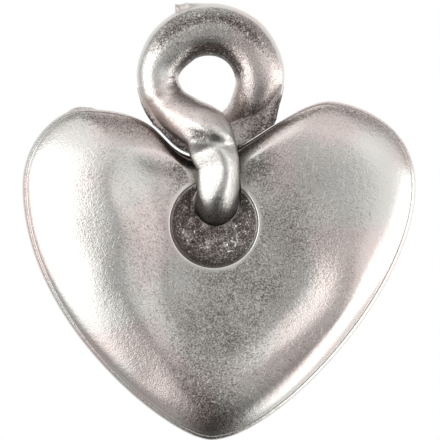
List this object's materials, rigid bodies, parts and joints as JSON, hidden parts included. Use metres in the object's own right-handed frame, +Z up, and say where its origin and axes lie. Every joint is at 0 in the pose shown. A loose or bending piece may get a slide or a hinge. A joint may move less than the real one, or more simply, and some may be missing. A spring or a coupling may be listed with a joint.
{
  "type": "heart pendant",
  "caption": "Puffy heart with a sunken bowl in each face, swinging on a twisted figure-eight bail whose round eye takes a cord or chain.",
  "frame": {"origin": "middle of the bail's round eye, where the cord or chain that holds the pendant up passes", "axes": "+X to the wearer's left (right in the front view), -Y out of the front face, +Z up towards the cord"},
  "size_m": [0.0301, 0.0084, 0.0337],
  "materials": {
    "bail_pewter": "antiqued silver-coloured pewter casting, burnished on the high places",
    "heart_pewter": "antiqued silver-coloured pewter casting, satin, darkened in the bowls"
  },
  "bodies": {
    "bail": {"bail": "bail_pewter"},
    "heart": {"heart": "heart_pewter"}
  },
  "joints": [
    {"name": "heart_swing", "type": "hinge", "parent": "bail", "child": "heart", "pos_m": [0.0004, 0, -0.00704], "axis": [0.9962, 0.0872, 0], "range_deg": [-20, 20]}
  ]
}
